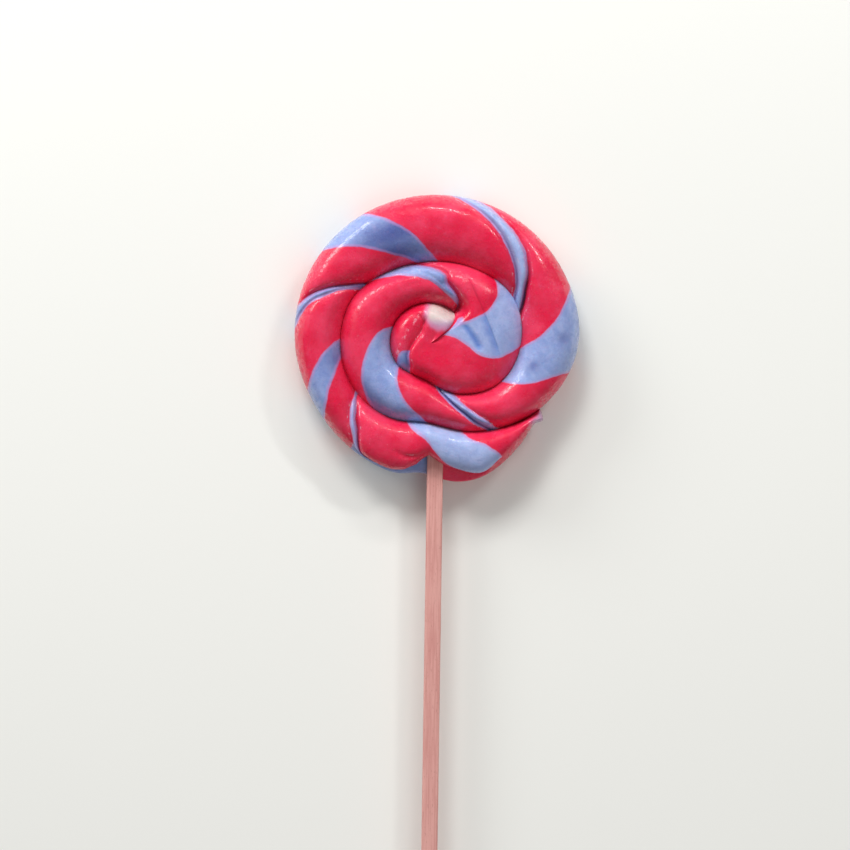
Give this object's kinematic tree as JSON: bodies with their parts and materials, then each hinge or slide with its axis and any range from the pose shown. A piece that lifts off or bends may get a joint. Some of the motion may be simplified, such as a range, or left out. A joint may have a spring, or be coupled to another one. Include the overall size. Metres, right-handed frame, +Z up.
{
  "type": "swirl lollipop",
  "caption": "Lollipop of a twisted candy rope wound into a flat spiral disc on a straight square wooden stick, lying on its back.",
  "frame": {"origin": "centre of the disc on the flat back that it lies on", "axes": "+Z up out of the shown side of the disc, +Y from the stick's free end towards the disc, +X to the right as the shown side is seen"},
  "size_m": [0.0752, 0.2014, 0.013],
  "materials": {
    "candy": "glossy boiled sugar, red with light blue stripes",
    "stick_wood": "plain sanded wood, fine grain along the stick"
  },
  "bodies": {
    "root": {"swirl_candy": "candy", "stick": "stick_wood"}
  },
  "joints": []
}
